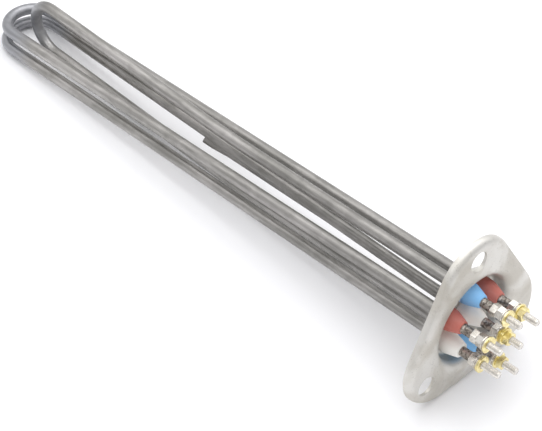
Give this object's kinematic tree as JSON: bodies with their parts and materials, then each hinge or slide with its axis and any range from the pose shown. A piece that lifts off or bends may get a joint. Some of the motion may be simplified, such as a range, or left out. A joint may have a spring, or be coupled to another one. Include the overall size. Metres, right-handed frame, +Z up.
{
  "type": "flanged immersion heating element",
  "caption": "Three hairpin tubular heating elements and a thermowell brazed into a pressed three-eared flange, with sleeved stud terminals and a star bridge.",
  "frame": {"origin": "centre of the bolt circle, on the flat front face of the flange that the terminals stand on", "axes": "+X along the bundle's axis, from the hairpins' far bends towards the terminals; +Z up, through the upper ear; +Y sideways"},
  "size_m": [0.4752, 0.115, 0.1079],
  "materials": {
    "flange_steel": "satin, pressed sheet",
    "tube_steel": "annealed, satin",
    "braze": "dull filler metal",
    "magnesia": "pressed powder",
    "resistance_wire": "wound wire",
    "red_sleeve": "soft matt",
    "blue_sleeve": "soft matt",
    "white_sleeve": "soft matt",
    "plated_steel": "bright plated",
    "ferrule_steel": "dark, cross-hatched",
    "brass": "bright brass"
  },
  "bodies": {
    "root": {"flange": "flange_steel", "thermowell": "tube_steel", "braze_rings": "braze", "red_sheath": "tube_steel", "red_magnesia": "magnesia", "red_winding": "resistance_wire", "white_sheath": "tube_steel", "white_magnesia": "magnesia", "white_winding": "resistance_wire", "blue_sheath": "tube_steel", "blue_magnesia": "magnesia", "blue_winding": "resistance_wire", "red_right_sleeve": "red_sleeve", "red_right_pin": "plated_steel", "red_right_ferrule": "ferrule_steel", "red_right_stud": "plated_steel", "red_left_sleeve": "red_sleeve", "red_left_pin": "plated_steel", "red_left_ferrule": "ferrule_steel", "red_left_stud": "plated_steel", "blue_top_sleeve": "blue_sleeve", "blue_top_pin": "plated_steel", "blue_top_ferrule": "ferrule_steel", "blue_top_stud": "plated_steel", "blue_bottom_sleeve": "blue_sleeve", "blue_bottom_pin": "plated_steel", "blue_bottom_ferrule": "ferrule_steel", "blue_bottom_stud": "plated_steel", "white_middle_sleeve": "white_sleeve", "white_middle_pin": "plated_steel", "white_middle_ferrule": "ferrule_steel", "white_middle_stud": "plated_steel", "white_left_sleeve": "white_sleeve", "white_left_pin": "plated_steel", "white_left_ferrule": "ferrule_steel", "white_left_stud": "plated_steel", "steel_nuts": "plated_steel", "steel_washers": "plated_steel", "spring_washers": "plated_steel", "star_bridge": "brass", "brass_washers": "brass", "brass_nuts": "brass"}
  },
  "joints": []
}
